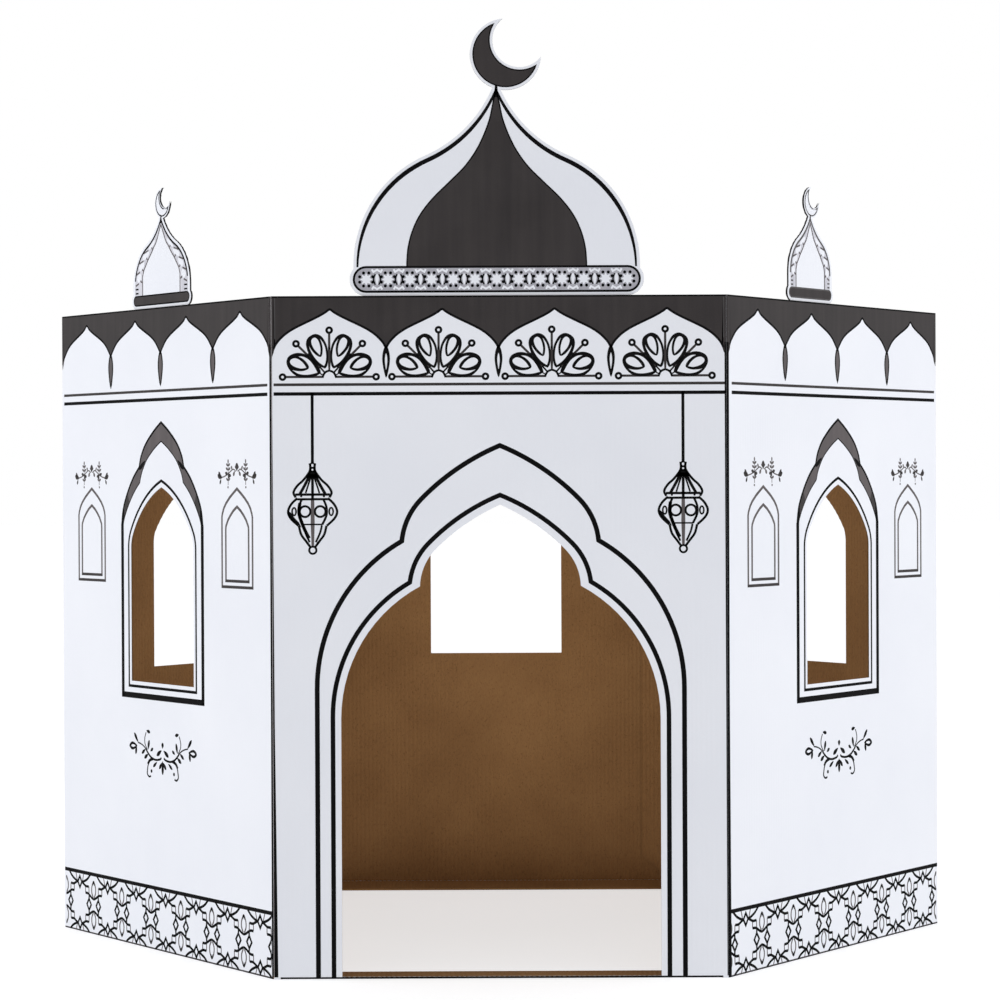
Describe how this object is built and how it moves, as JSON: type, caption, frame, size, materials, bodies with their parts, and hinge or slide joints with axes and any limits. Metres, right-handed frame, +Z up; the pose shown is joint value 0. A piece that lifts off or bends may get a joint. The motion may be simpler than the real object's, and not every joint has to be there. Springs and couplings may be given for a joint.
{
  "type": "cardboard playhouse",
  "caption": "Open-topped hexagonal cardboard playhouse in the shape of a small mosque, with a cusped doorway, pointed windows, an onion dome and side turrets with crescents.",
  "frame": {"origin": "on the floor, at the middle of the six-sided plan", "axes": "+Z up, -Y out of the doorway, +X to the right of someone who faces the doorway"},
  "size_m": [1.2762, 0.9748, 1.2528],
  "materials": {
    "wall_board": "matte white liner with charcoal print outside, bare kraft brown inside",
    "topper_board": "matte white liner with charcoal print in front, bare kraft brown behind"
  },
  "bodies": {
    "root": {"front_sheet": "wall_board", "back_sheet": "wall_board", "dome_topper": "topper_board", "left_turret": "topper_board", "right_turret": "topper_board"}
  },
  "joints": []
}
